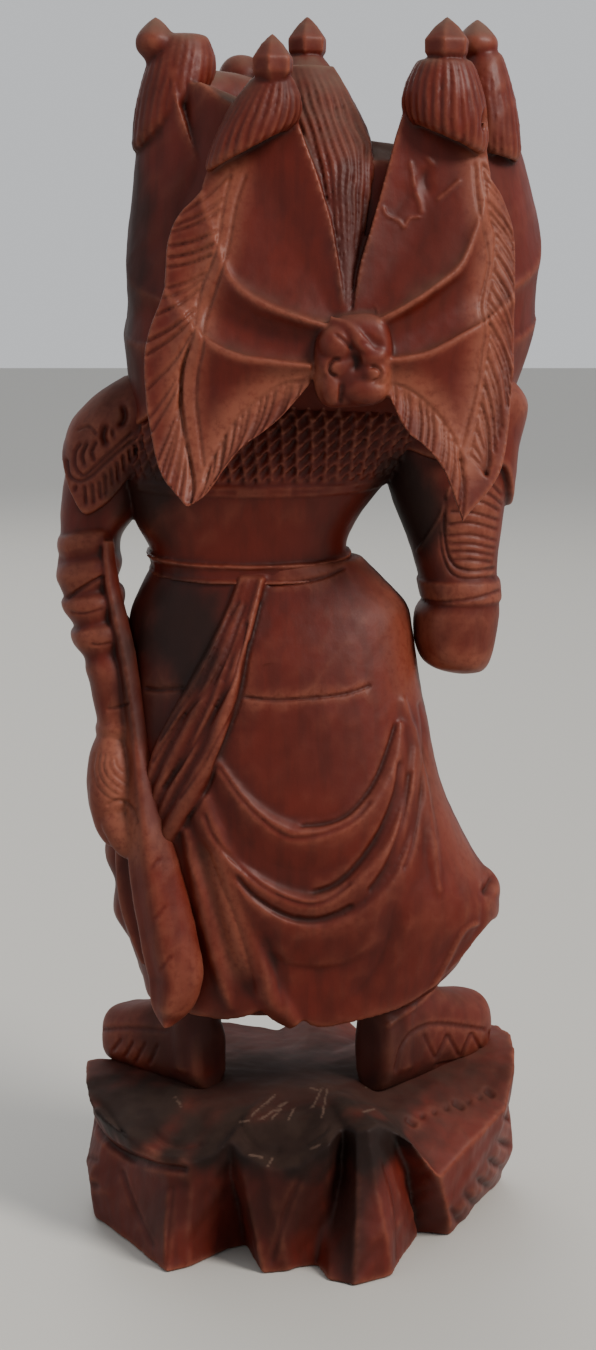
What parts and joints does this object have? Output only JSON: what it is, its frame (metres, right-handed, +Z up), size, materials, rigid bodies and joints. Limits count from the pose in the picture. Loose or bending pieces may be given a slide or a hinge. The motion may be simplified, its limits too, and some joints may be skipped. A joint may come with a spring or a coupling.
{
  "type": "carved guardian figure",
  "caption": "Standing armoured guardian figure with four back flags, a hanging robe and a bar held point down, carved with its rough rock base from one block of dark wood.",
  "frame": {"origin": "on the surface the rock base stands on, under the middle of the rock", "axes": "+Z up, the figure faces -Y, and its own left side is at +X"},
  "size_m": [0.0851, 0.0663, 0.217],
  "materials": {
    "wood": "satin"
  },
  "bodies": {
    "root": {"guardian_figure": "wood"}
  },
  "joints": []
}
